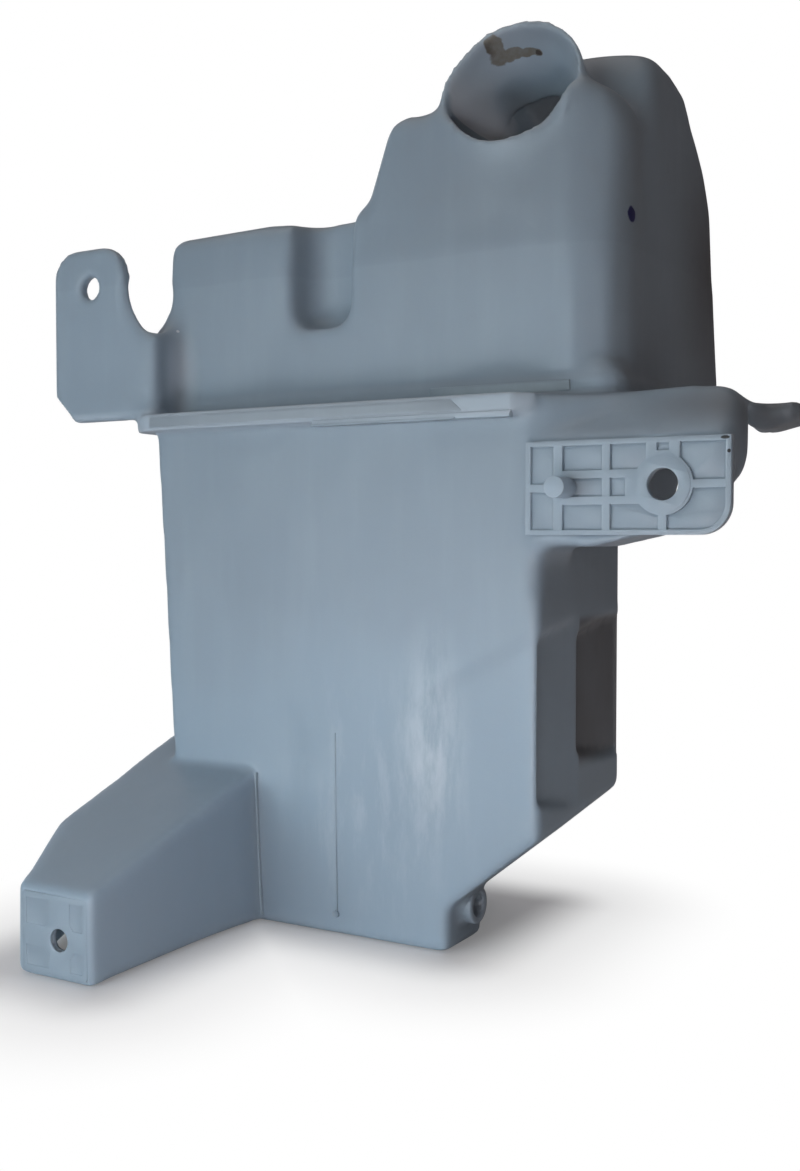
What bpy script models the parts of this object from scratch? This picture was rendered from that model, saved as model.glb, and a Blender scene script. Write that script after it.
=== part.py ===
"""Washer fluid reservoir: one hollow moulded tank with its filler neck, flange, lugs and foot.

Layout frame: x runs to the right along the front face of the lower chamber and is 0 at that
face's middle, y runs to the back and is 0 on that face, z is the height above the base.
The finished tank is then moved so that its origin is the middle of its own footprint.
"""
import math

import bmesh
import bpy
from mathutils import Matrix, Vector

MM = 0.001

# Skins: the blown wall, the pinched lugs and the open webs behind them
WALL = 2.5 * MM
LUG_THICKNESS = 5.0 * MM
WEB_THICKNESS = 3.5 * MM

# Lower chamber
LOWER_WIDTH = 151.0 * MM
LOWER_DEPTH = 71.0 * MM
LOWER_HEIGHT = 171.3 * MM
LOWER_LEFT_LEAN = 11.0 * MM
LOWER_EDGE_RADIUS = 4.5 * MM

# Sump: the foot of the lower chamber, cut back on the right under a slanted floor
SUMP_CUTBACK = 31.5 * MM
SUMP_SIDE_HEIGHT = 13.5 * MM
SUMP_SIDE_DEPTH = 24.0 * MM
SUMP_BACK_CUTBACK = 22.0 * MM
SLANT_RISE = 25.4 * MM
SLANT_BACK_RISE = 8.0 * MM

# Two shallow stiffening panels pressed into the right wall, like louvres
PANEL_DEPTH = 3.5 * MM
PANEL_DROP = 64.0 * MM
PANEL_SLOPE = 6.5 * MM
PANEL_MARGIN = 2.0 * MM
FRONT_PANEL_WIDTH = 30.0 * MM
FRONT_PANEL_HEIGHT = 62.0 * MM
BACK_PANEL_HEIGHT = 50.0 * MM

# Upper chamber
UPPER_SETBACK = 17.0 * MM
UPPER_LEFT_OVERHANG = 9.0 * MM
UPPER_RIGHT_OVERHANG = 18.5 * MM
UPPER_BACK_OVERHANG = 58.5 * MM
UPPER_HEIGHT = 75.0 * MM
UPPER_LEFT_FALL = 1.5 * MM
UPPER_EDGE_RADIUS = 8.0 * MM

# Back wall: upright at first, then leaning forwards up to a knee, where it turns over
BACK_UPRIGHT = 20.0 * MM
BACK_UPRIGHT_LEAN = 1.1 * MM
BACK_LEAN = 11.0 * MM
KNEE_HEIGHT = 83.0 * MM
ABOVE_KNEE_RUN = 9.0 * MM
ABOVE_KNEE_RISE = 14.0 * MM

# Shoulder: the raised right part of the upper chamber, under the filler
SHOULDER_WIDTH = 84.2 * MM
SHOULDER_RISE = 33.5 * MM
SHOULDER_LEFT_FALL = 4.3 * MM
SHOULDER_SLOPE_RUN = 8.9 * MM
SHOULDER_TILT_START = 55.0 * MM
SHOULDER_TILT = math.radians(3.7)

# Hump behind the filler
HUMP_WIDTH = 59.0 * MM
HUMP_RISE = 14.3 * MM
HUMP_SETBACK = 29.0 * MM
HUMP_CROWN_DEPTH = 20.0 * MM
HUMP_FALL_RUN = 20.0 * MM
HUMP_FALL = 6.0 * MM
HUMP_INSET = 0.6 * MM

# Channel down the front of the upper chamber
NOTCH_WIDTH = 24.3 * MM
NOTCH_DEPTH = 15.0 * MM
NOTCH_DROP = 40.0 * MM
NOTCH_GAP = 4.2 * MM
NOTCH_RADIUS = 7.0 * MM

# Filler neck: its mouth leans back from the vertical
MOUTH_RADIUS = 23.3 * MM
MOUTH_INBOARD = 40.6 * MM
MOUTH_BACK = 8.0 * MM
MOUTH_RISE = 1.6 * MM
NECK_TILT = math.radians(22.0)
NECK_TURN = math.radians(3.0)
NECK_LENGTH = 45.0 * MM
NECK_END_RADIUS = 18.3 * MM

# Flange round the seam, and the sloping ledge on it
FLANGE_THICKNESS = 6.0 * MM
FLANGE_LIP = 4.0 * MM
FLANGE_LEFT_LIP = 2.0 * MM
FLANGE_CORNER_RADIUS = 12.5 * MM
LEDGE_RISE = 5.8 * MM
LEDGE_PROUD = 1.8 * MM

# Upright ear on the left end of the flange
EAR_RIGHT_INSET = 9.5 * MM
EAR_WIDTH = 49.5 * MM
EAR_WAIST_WIDTH = 37.5 * MM
EAR_HEAD_WIDTH = 32.0 * MM
EAR_HEIGHT = 63.0 * MM
EAR_CHAMFER = 10.0 * MM
EAR_TOP_RADIUS = 11.0 * MM
EAR_WAIST_RADIUS = 9.0 * MM
EAR_VALLEY_HEIGHT = 30.0 * MM
EAR_WAIST_RISE = 10.0 * MM
EAR_HOLE_RADIUS = 4.25 * MM
EAR_HOLE_DROP = 14.5 * MM
EAR_HOLE_INSET = 18.0 * MM
EAR_WEB_LEAN = 2.5 * MM
EAR_WEB_RISE = 9.5 * MM

# Main bracket on the right: a ribbed plate on an open box of webs
BRACKET_WIDTH = 62.5 * MM
BRACKET_HEIGHT = 28.0 * MM
BRACKET_OVERLAP = 3.0 * MM
BRACKET_DROP = 9.5 * MM
BRACKET_PROUD = 3.0 * MM
BRACKET_CORNER_RADIUS = 9.0 * MM
BRACKET_SHELF_FRONT = 15.0 * MM
BRACKET_SIDE_INSET = 2.0 * MM
BRACKET_DEPTH = 25.0 * MM
BRACKET_HOOD_THICKNESS = 4.5 * MM
BRACKET_CHEEK_RISE = 21.0 * MM
BRACKET_FLOOR_WIDTH = 34.0 * MM
BRACKET_GUSSET_INSET = 30.5 * MM
BRACKET_GUSSET_LEVEL = 34.0 * MM
BOLT_HOLE_RADIUS = 4.7 * MM
BOLT_INSET = 19.7 * MM
BOLT_HEIGHT = 14.5 * MM
BOSS_RADIUS = 8.9 * MM
PIN_RADIUS = 3.15 * MM
PIN_LENGTH = 9.0 * MM
PIN_INSET = 13.0 * MM
PIN_EDGE_RADIUS = 0.6 * MM
RIB_WIDTH = 2.3 * MM
RIM_WIDTH = 1.4 * MM
CELL_DEPTH = 1.2 * MM
MIDDLE_CELL_HEIGHT = 5.4 * MM
KEY_CELL_WIDTH = 3.9 * MM
KEY_CELL_GAP = 3.0 * MM

# Shelf in the plane of the flange, and the tab at its end
SHELF_DEPTH = 47.0 * MM
TAB_BACK = 31.5 * MM
TAB_REACH = 11.5 * MM
TAB_WIDTH = 24.0 * MM
TAB_CORNER_RADIUS = 7.0 * MM
TAB_THICKNESS = 2.8 * MM
TAB_RIB_DROP = 4.7 * MM
TAB_RIB_RUN = 8.0 * MM
TAB_RIB_WIDTH = 3.0 * MM

# Hollow foot that reaches forwards on the left
FOOT_LENGTH = 81.0 * MM
FOOT_END_WIDTH = 30.0 * MM
FOOT_END_HEIGHT = 27.8 * MM
FOOT_ROOT_RISE = 25.0 * MM
FOOT_RIGHT_INSET = 44.5 * MM
FOOT_FLARE = 24.0 * MM
FOOT_FLARE_DEPTH = 21.5 * MM
FOOT_KNUCKLE_OUT = 18.5 * MM
FOOT_KNUCKLE_BACK = 36.0 * MM
FOOT_WING_DEPTH = 36.0 * MM
FOOT_ROOT_DEPTH = 2.0 * MM
FOOT_HOLE_RADIUS = 3.5 * MM
FOOT_HOLE_HEIGHT = 12.7 * MM
FOOT_HOLE_INSET = 13.0 * MM
FOOT_EDGE_RADIUS = 3.0 * MM

# Pump port: a short boss on the side of the sump
PORT_RADIUS = 6.0 * MM
PORT_BORE_RADIUS = 3.5 * MM
PORT_LENGTH = 5.5 * MM
PORT_BACK = 12.5 * MM
PORT_HEIGHT = 13.8 * MM

# How far cutters run past a face, how far joined shapes run into each other, how far faces
# that would lie in one plane are kept apart, and how near two points are one
OVERRUN = 10.0 * MM
BITE = 1.0 * MM
HAIR = 0.25 * MM
WELD = 0.01 * MM

# Places that follow from the sizes above
LOWER_RIGHT = LOWER_WIDTH / 2
LOWER_LEFT = -LOWER_WIDTH / 2
UPPER_LEFT = LOWER_LEFT - UPPER_LEFT_OVERHANG
UPPER_RIGHT = LOWER_RIGHT + UPPER_RIGHT_OVERHANG
UPPER_BACK = LOWER_DEPTH + UPPER_BACK_OVERHANG
SEAM = LOWER_HEIGHT
FLANGE_TOP = SEAM + FLANGE_THICKNESS
UPPER_TOP = SEAM + UPPER_HEIGHT
SHOULDER_TOP = UPPER_TOP + SHOULDER_RISE
SHOULDER_LEFT = UPPER_RIGHT - SHOULDER_WIDTH
HUMP_TOP = SHOULDER_TOP + HUMP_RISE
HUMP_FRONT = UPPER_SETBACK + HUMP_SETBACK
SUMP_RIGHT = LOWER_RIGHT - SUMP_CUTBACK
SLANT_TOP = SUMP_SIDE_HEIGHT + SLANT_RISE
FLANGE_LEFT = UPPER_LEFT - FLANGE_LEFT_LIP
FLANGE_RIGHT = UPPER_RIGHT + FLANGE_LIP
FLANGE_BACK = UPPER_BACK + FLANGE_LIP
BRACKET_LEFT = LOWER_RIGHT - BRACKET_OVERLAP
BRACKET_RIGHT = BRACKET_LEFT + BRACKET_WIDTH
BRACKET_TOP = SEAM - BRACKET_DROP
BRACKET_BOTTOM = BRACKET_TOP - BRACKET_HEIGHT
SHELF_RIGHT = BRACKET_RIGHT - BRACKET_SIDE_INSET
EAR_RIGHT = UPPER_LEFT + EAR_RIGHT_INSET
EAR_LEFT = EAR_RIGHT - EAR_WIDTH
FOOT_RIGHT = LOWER_LEFT + FOOT_RIGHT_INSET
FOOT_LEFT = FOOT_RIGHT - FOOT_END_WIDTH


def own_collection(name):
    """A new collection in the scene."""
    group = bpy.data.collections.new(name)
    bpy.context.scene.collection.children.link(group)
    return group


def add_object(name, mesh):
    """An object among the construction shapes, drawn as wire and left out of renders."""
    shape = bpy.data.objects.new(name, mesh)
    construction.objects.link(shape)
    shape.hide_render = True
    shape.display_type = "WIRE"
    return shape


def six_sided(name, corners):
    """A cube whose corners are moved: corners maps (right, back, top) flags to places."""
    shaped = bmesh.new()
    bmesh.ops.create_cube(shaped, size=1.0)
    for vertex in shaped.verts:
        flags = (vertex.co.x > 0, vertex.co.y > 0, vertex.co.z > 0)
        vertex.co = Vector(corners[flags])
    shaped.normal_update()
    bmesh.ops.triangulate(shaped, faces=[face for face in shaped.faces if not is_flat(face)])
    mesh = bpy.data.meshes.new(name)
    shaped.to_mesh(mesh)
    shaped.free()
    return add_object(name, mesh)


def block(name, low, high):
    """A box between two corners."""
    ends = list(zip(low, high))
    flags = [(right, back, top) for right in (0, 1) for back in (0, 1) for top in (0, 1)]
    corners = {tuple(bool(f) for f in flag): [ends[axis][f] for axis, f in enumerate(flag)]
               for flag in flags}
    return six_sided(name, corners)


def cylinder(name, start, end, radius, end_radius=None, segments=32):
    """A round bar or cone between two points."""
    start = Vector(start)
    axis = Vector(end) - start
    turn = axis.to_track_quat("Z", "Y").to_matrix().to_4x4()
    place = Matrix.Translation(start + axis / 2) @ turn
    turned = bmesh.new()
    bmesh.ops.create_cone(turned, cap_ends=True, segments=segments, radius1=radius,
                          radius2=radius if end_radius is None else end_radius,
                          depth=axis.length, matrix=place)
    mesh = bpy.data.meshes.new(name)
    turned.to_mesh(mesh)
    turned.free()
    return add_object(name, mesh)


# How an outline drawn flat stands in the tank, by the axis that it is thickened along
STANDING = {"x": Matrix(((0, 0, 1, 0), (1, 0, 0, 0), (0, 1, 0, 0), (0, 0, 0, 1))),
            "y": Matrix(((1, 0, 0, 0), (0, 0, -1, 0), (0, 1, 0, 0), (0, 0, 0, 1))),
            "z": Matrix.Identity(4)}


def prism(name, outline, axis, start, end):
    """A flat outline thickened along an axis: (y, z) points along x, (x, z) along y, (x, y) along z."""
    flat = bpy.data.curves.new(name, "CURVE")
    flat.dimensions = "2D"
    flat.fill_mode = "BOTH"
    flat.extrude = (end - start) / 2
    edge = flat.splines.new("POLY")
    edge.points.add(len(outline) - 1)
    for point, place in zip(edge.points, outline):
        point.co = (place[0], place[1], 0, 1)
    edge.use_cyclic_u = True
    drawn = bpy.data.objects.new(name, flat)
    construction.objects.link(drawn)
    view = bpy.context.evaluated_depsgraph_get()
    mesh = bpy.data.meshes.new_from_object(drawn.evaluated_get(view))
    bpy.data.objects.remove(drawn)
    middle = (start + end) / 2
    shift = {"x": (middle, 0, 0), "y": (0, middle, 0), "z": (0, 0, middle)}[axis]
    welded = bmesh.new()
    welded.from_mesh(mesh)
    bmesh.ops.remove_doubles(welded, verts=welded.verts, dist=WELD)
    bmesh.ops.dissolve_limit(welded, angle_limit=math.radians(0.5), verts=welded.verts,
                             edges=welded.edges)
    bmesh.ops.transform(welded, matrix=Matrix.Translation(shift) @ STANDING[axis],
                        verts=welded.verts)
    bmesh.ops.recalc_face_normals(welded, faces=welded.faces)
    welded.to_mesh(mesh)
    welded.free()
    return add_object(name, mesh)


def inset(outline, distance):
    """An anticlockwise outline with each side moved inwards."""
    moved = []
    for index, here in enumerate(outline):
        before = Vector(outline[index - 1])
        after = Vector(outline[(index + 1) % len(outline)])
        arriving = (Vector(here) - before).normalized()
        leaving = (after - Vector(here)).normalized()
        inward = Vector((-arriving.y, arriving.x))
        middle = (inward + Vector((-leaving.y, leaving.x))).normalized()
        moved.append(Vector(here) + middle * distance / middle.dot(inward))
    return moved


def rounded(outline, radii, steps=6):
    """An outline with an arc of its own radius at each corner, 0 for a sharp one."""
    points = []
    for index, (here, radius) in enumerate(zip(outline, radii)):
        corner = Vector(here)
        if radius == 0:
            points.append(corner)
            continue
        back = (Vector(outline[index - 1]) - corner).normalized()
        on = (Vector(outline[(index + 1) % len(outline)]) - corner).normalized()
        half_angle = back.angle(on) / 2
        reach = radius / math.tan(half_angle)
        centre = corner + (back + on).normalized() * radius / math.sin(half_angle)
        first = corner + back * reach - centre
        last = corner + on * reach - centre
        for step in range(steps + 1):
            share = step / steps
            spoke = first.lerp(last, share).normalized() * radius
            points.append(centre + spoke)
    return points


def is_flat(face):
    """Whether a face's corners all lie in its plane, to a thousandth of a millimetre."""
    middle = face.calc_center_median()
    return all(abs((vertex.co - middle).dot(face.normal)) < 0.001 * MM for vertex in face.verts)


def bake(shape):
    """Turn a shape's modifiers into its mesh, and weld what they leave split."""
    view = bpy.context.evaluated_depsgraph_get()
    mesh = bpy.data.meshes.new_from_object(shape.evaluated_get(view))
    shape.modifiers.clear()
    welded = bmesh.new()
    welded.from_mesh(mesh)
    bmesh.ops.remove_doubles(welded, verts=welded.verts, dist=WELD)
    bmesh.ops.dissolve_degenerate(welded, edges=welded.edges, dist=WELD)
    bmesh.ops.triangulate(welded, faces=[face for face in welded.faces if not is_flat(face)])
    welded.to_mesh(mesh)
    welded.free()
    shape.data = mesh
    return shape


def boolean(shape, tool, operation):
    """Join, cut or intersect a shape with a tool, which is then put away."""
    step = shape.modifiers.new(tool.name, "BOOLEAN")
    step.operation = operation
    step.solver = "EXACT"
    step.object = tool
    bake(shape)
    bpy.data.objects.remove(tool)
    return shape


def round_edges(shape, radius, segments=3, smallest_angle=30):
    """Round every edge sharper than an angle."""
    step = shape.modifiers.new("Rounded edges", "BEVEL")
    step.width = radius
    step.segments = segments
    step.limit_method = "ANGLE"
    step.angle_limit = math.radians(smallest_angle)
    return bake(shape)


def sump_cutter(name, near, far, skin):
    """The space under the slanted floor between two depths, each with its own sump side."""
    corners = {}
    for back, depth in ((False, near), (True, far)):
        behind = max(0.0, depth - SUMP_SIDE_DEPTH)
        side = SUMP_RIGHT - skin - behind * SUMP_BACK_CUTBACK / (LOWER_DEPTH - SUMP_SIDE_DEPTH)
        edge = LOWER_RIGHT + OVERRUN
        steepness = SLANT_RISE / SUMP_CUTBACK
        thicker = skin * math.hypot(1.0, steepness)
        for right, across in ((False, side), (True, edge)):
            lift = max(0.0, depth) * SLANT_BACK_RISE / LOWER_DEPTH + thicker
            floor = SLANT_TOP - (LOWER_RIGHT - across) * steepness + lift
            corners[right, back, False] = (across, depth, -OVERRUN)
            corners[right, back, True] = (across, depth, floor)
    return six_sided(name, corners)


def panel_cutter(name, near, far, height, skin):
    """One louvre panel: deepest at its front edge, flush at its back edge."""
    top = SEAM - PANEL_DROP + skin
    bottom = SEAM - PANEL_DROP - height - skin
    outside = LOWER_RIGHT + OVERRUN
    deep = LOWER_RIGHT - PANEL_DEPTH - skin
    flush = LOWER_RIGHT - HAIR - skin
    return six_sided(name, {
        (False, False, False): (deep, near - skin, bottom + PANEL_SLOPE),
        (False, False, True): (deep, near - skin, top - PANEL_SLOPE),
        (False, True, False): (flush, far + skin, bottom),
        (False, True, True): (flush, far + skin, top),
        (True, False, False): (outside, near - skin, bottom),
        (True, False, True): (outside, near - skin, top),
        (True, True, False): (outside, far + skin, bottom),
        (True, True, True): (outside, far + skin, top)})


def lower_chamber(skin):
    """The lower chamber, shrunk by a skin: 0 gives its outside, the wall its inside."""
    side = "outside" if skin == 0 else "inside"
    top = SEAM + (FLANGE_THICKNESS - HAIR if skin == 0 else skin * 2 + BITE)
    outline = [(LOWER_LEFT + LOWER_LEFT_LEAN, 0.0), (LOWER_RIGHT, 0.0), (LOWER_RIGHT, top),
               (LOWER_LEFT, top)]
    shape = prism(f"lower_{side}", inset(outline, skin), "y", skin, LOWER_DEPTH - skin)
    boolean(shape, sump_cutter(f"sump_front_{side}", -OVERRUN, SUMP_SIDE_DEPTH, skin), "DIFFERENCE")
    boolean(shape, sump_cutter(f"sump_back_{side}", SUMP_SIDE_DEPTH, LOWER_DEPTH + OVERRUN, skin),
            "DIFFERENCE")
    round_edges(shape, LOWER_EDGE_RADIUS - skin)
    split = PANEL_MARGIN + FRONT_PANEL_WIDTH
    front = panel_cutter(f"front_panel_{side}", PANEL_MARGIN, split, FRONT_PANEL_HEIGHT, skin)
    back = panel_cutter(f"back_panel_{side}", split + BITE, LOWER_DEPTH - PANEL_MARGIN,
                        BACK_PANEL_HEIGHT, skin)
    boolean(shape, front, "DIFFERENCE")
    boolean(shape, back, "DIFFERENCE")
    return shape


def side_profile(front, tilt, skin):
    """The upper part seen from the side: a front that may tilt back, and the back wall."""
    base = SEAM + HAIR
    knee = (UPPER_BACK - BACK_LEAN, SEAM + KNEE_HEIGHT)
    crown = HUMP_FRONT + HUMP_CROWN_DEPTH
    tilt_start = SEAM + SHOULDER_TILT_START
    outline = [(front, base), (UPPER_BACK, base),
               (UPPER_BACK - BACK_UPRIGHT_LEAN, SEAM + BACK_UPRIGHT), knee,
               (knee[0] - ABOVE_KNEE_RUN, knee[1] + ABOVE_KNEE_RISE),
               (crown + HUMP_FALL_RUN, HUMP_TOP - HUMP_FALL), (crown, HUMP_TOP),
               (front + (HUMP_TOP - tilt_start) * math.tan(tilt), HUMP_TOP), (front, tilt_start)]
    return inset(outline, skin)


def upper_chamber(skin):
    """The upper chamber with its shoulder, shrunk by a skin, and with its front channel cut."""
    side = "outside" if skin == 0 else "inside"
    foot = SHOULDER_LEFT - SHOULDER_SLOPE_RUN
    base = SEAM + HAIR
    outline = [(UPPER_LEFT, base), (UPPER_RIGHT, base), (UPPER_RIGHT, SHOULDER_TOP),
               (SHOULDER_LEFT, SHOULDER_TOP - SHOULDER_LEFT_FALL), (foot, UPPER_TOP),
               (UPPER_LEFT, UPPER_TOP - UPPER_LEFT_FALL)]
    shape = prism(f"upper_{side}", inset(outline, skin), "y", 0.0, UPPER_BACK + OVERRUN)
    profile = prism(f"upper_profile_{side}", side_profile(UPPER_SETBACK, SHOULDER_TILT, skin), "x",
                    UPPER_LEFT - OVERRUN, UPPER_RIGHT + OVERRUN)
    boolean(shape, profile, "INTERSECT")
    round_edges(shape, UPPER_EDGE_RADIUS - skin)
    right = foot - NOTCH_GAP + skin
    notch = block(f"notch_{side}", (right - NOTCH_WIDTH - 2 * skin, -OVERRUN,
                                    UPPER_TOP - NOTCH_DROP - skin),
                  (right, UPPER_SETBACK + NOTCH_DEPTH + skin, SHOULDER_TOP + OVERRUN))
    round_edges(notch, NOTCH_RADIUS + skin)
    return boolean(shape, notch, "DIFFERENCE")


def hump(skin):
    """The raised lobe behind the filler, shrunk by a skin."""
    side = "outside" if skin == 0 else "inside"
    right = UPPER_RIGHT - HUMP_INSET
    outline = [(right - HUMP_WIDTH, UPPER_TOP), (right, UPPER_TOP), (right, HUMP_TOP),
               (right - HUMP_WIDTH, HUMP_TOP)]
    shape = prism(f"hump_{side}", inset(outline, skin), "y", HUMP_FRONT - OVERRUN,
                  UPPER_BACK + OVERRUN)
    profile = prism(f"hump_profile_{side}", side_profile(HUMP_FRONT, 0.0, skin + HUMP_INSET), "x",
                    SHOULDER_LEFT - OVERRUN, UPPER_RIGHT + OVERRUN)
    boolean(shape, profile, "INTERSECT")
    return round_edges(shape, UPPER_EDGE_RADIUS - skin)


# The neck's own axis, pointing out of the mouth
NECK_AXIS = Vector((math.sin(NECK_TURN) * math.cos(NECK_TILT),
                    -math.cos(NECK_TURN) * math.cos(NECK_TILT), math.sin(NECK_TILT)))
MOUTH = Vector((UPPER_RIGHT - MOUTH_INBOARD, UPPER_SETBACK + MOUTH_BACK, SHOULDER_TOP + MOUTH_RISE))


def neck(skin):
    """The filler neck, a short cone that leads back and down; its bore runs out of the mouth."""
    side = "outside" if skin == 0 else "bore"
    beyond = 0.0 if skin == 0 else OVERRUN
    flare = (MOUTH_RADIUS - NECK_END_RADIUS) / NECK_LENGTH * beyond
    return cylinder(f"neck_{side}", MOUTH + NECK_AXIS * beyond,
                    MOUTH - NECK_AXIS * (NECK_LENGTH + beyond), MOUTH_RADIUS - skin + flare,
                    NECK_END_RADIUS - skin - flare, segments=48)


def flange():
    """The seam flange with rounded corners, and the low band round the walls above it."""
    low = (FLANGE_LEFT, -FLANGE_LIP)
    high = (FLANGE_RIGHT, FLANGE_BACK)
    corners = [low, (high[0], low[1]), high, (low[0], high[1])]
    plate = prism("flange_plate", rounded(corners, [FLANGE_CORNER_RADIUS] * 4), "z", SEAM,
                  FLANGE_TOP)
    left, near = UPPER_LEFT - LEDGE_PROUD, UPPER_SETBACK - LEDGE_PROUD
    right, far = UPPER_RIGHT + LEDGE_PROUD, UPPER_BACK + LEDGE_PROUD
    band = rounded([(left, near), (right, near), (right, far), (left, far)],
                   [UPPER_EDGE_RADIUS + LEDGE_PROUD] * 4)
    boolean(plate, prism("ledge_band", band, "z", FLANGE_TOP - BITE, FLANGE_TOP + LEDGE_RISE),
            "UNION")
    over_hood = block("over_hood", (LOWER_RIGHT - HAIR, -OVERRUN, SEAM - OVERRUN),
                      (FLANGE_RIGHT + OVERRUN, BRACKET_SHELF_FRONT - HAIR, UPPER_TOP))
    return boolean(plate, over_hood, "DIFFERENCE")


def ear():
    """The upright lug on the left: a pinched plate with a bolt hole, and the web that ties it in."""
    top = FLANGE_TOP + EAR_HEIGHT
    valley = FLANGE_TOP + EAR_VALLEY_HEIGHT
    foot = FLANGE_TOP - BITE
    outline = [(EAR_LEFT + EAR_CHAMFER, foot), (EAR_RIGHT, foot), (EAR_RIGHT, valley),
               (EAR_RIGHT - LUG_THICKNESS, valley),
               (EAR_LEFT + EAR_WAIST_WIDTH, valley + EAR_WAIST_RISE),
               (EAR_LEFT + EAR_HEAD_WIDTH, top), (EAR_LEFT, top), (EAR_LEFT, foot + EAR_CHAMFER)]
    radii = [0, 0, 0, 0, EAR_WAIST_RADIUS, EAR_TOP_RADIUS, EAR_TOP_RADIUS, 0]
    plate = prism("ear_plate", rounded(outline, radii), "y", 0.0, LUG_THICKNESS)
    hole_x = EAR_LEFT + EAR_HOLE_INSET
    hole_z = top - EAR_HOLE_DROP
    hole = cylinder("ear_hole", (hole_x, -OVERRUN, hole_z),
                    (hole_x, LUG_THICKNESS + OVERRUN, hole_z), EAR_HOLE_RADIUS)
    boolean(plate, hole, "DIFFERENCE")
    behind = UPPER_SETBACK + LUG_THICKNESS
    corners = {}
    for back, depth in ((False, BITE), (True, behind)):
        right = EAR_RIGHT - HAIR - EAR_WEB_LEAN * back
        high = valley - BITE + EAR_WEB_RISE * back
        for side, across in ((False, right - LUG_THICKNESS + 2 * HAIR), (True, right)):
            corners[side, back, False] = (across, depth, foot + HAIR)
            corners[side, back, True] = (across, depth, high)
    return boolean(plate, six_sided("ear_web", corners), "UNION")


def bracket_cells():
    """The recessed cells between the plate's ribs, as (left, right, low, high) from its corner."""
    half = RIB_WIDTH / 2
    bolt = BRACKET_WIDTH - BOLT_INSET
    first_rib = PIN_INSET - RIB_WIDTH
    second_rib = bolt - BOSS_RADIUS - PIN_RADIUS * 2
    row = BRACKET_HEIGHT / 2
    middle_low = row - MIDDLE_CELL_HEIGHT / 2
    middle_high = row + MIDDLE_CELL_HEIGHT / 2
    low = RIM_WIDTH
    high = BRACKET_HEIGHT - RIM_WIDTH
    right = BRACKET_WIDTH - RIM_WIDTH
    key_left = bolt - KEY_CELL_WIDTH / 2
    key_right = bolt + KEY_CELL_WIDTH / 2
    cells = [(RIM_WIDTH, first_rib - half, low, row - half),
             (RIM_WIDTH, first_rib - half, row + half, high),
             (key_right + KEY_CELL_GAP, right, row + half, high),
             (bolt + half, right, low, row - half),
             (key_left, key_right, high - RIB_WIDTH, high)]
    columns = [(first_rib + half, second_rib - half, second_rib - half, second_rib - half),
               (second_rib + half, bolt - half, bolt - BOSS_RADIUS, key_left - KEY_CELL_GAP)]
    for left, low_end, middle_end, high_end in columns:
        cells += [(left, low_end, low, middle_low - RIB_WIDTH),
                  (left, middle_end, middle_low, middle_high),
                  (left, high_end, middle_high + RIB_WIDTH, high)]
    return cells


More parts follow.
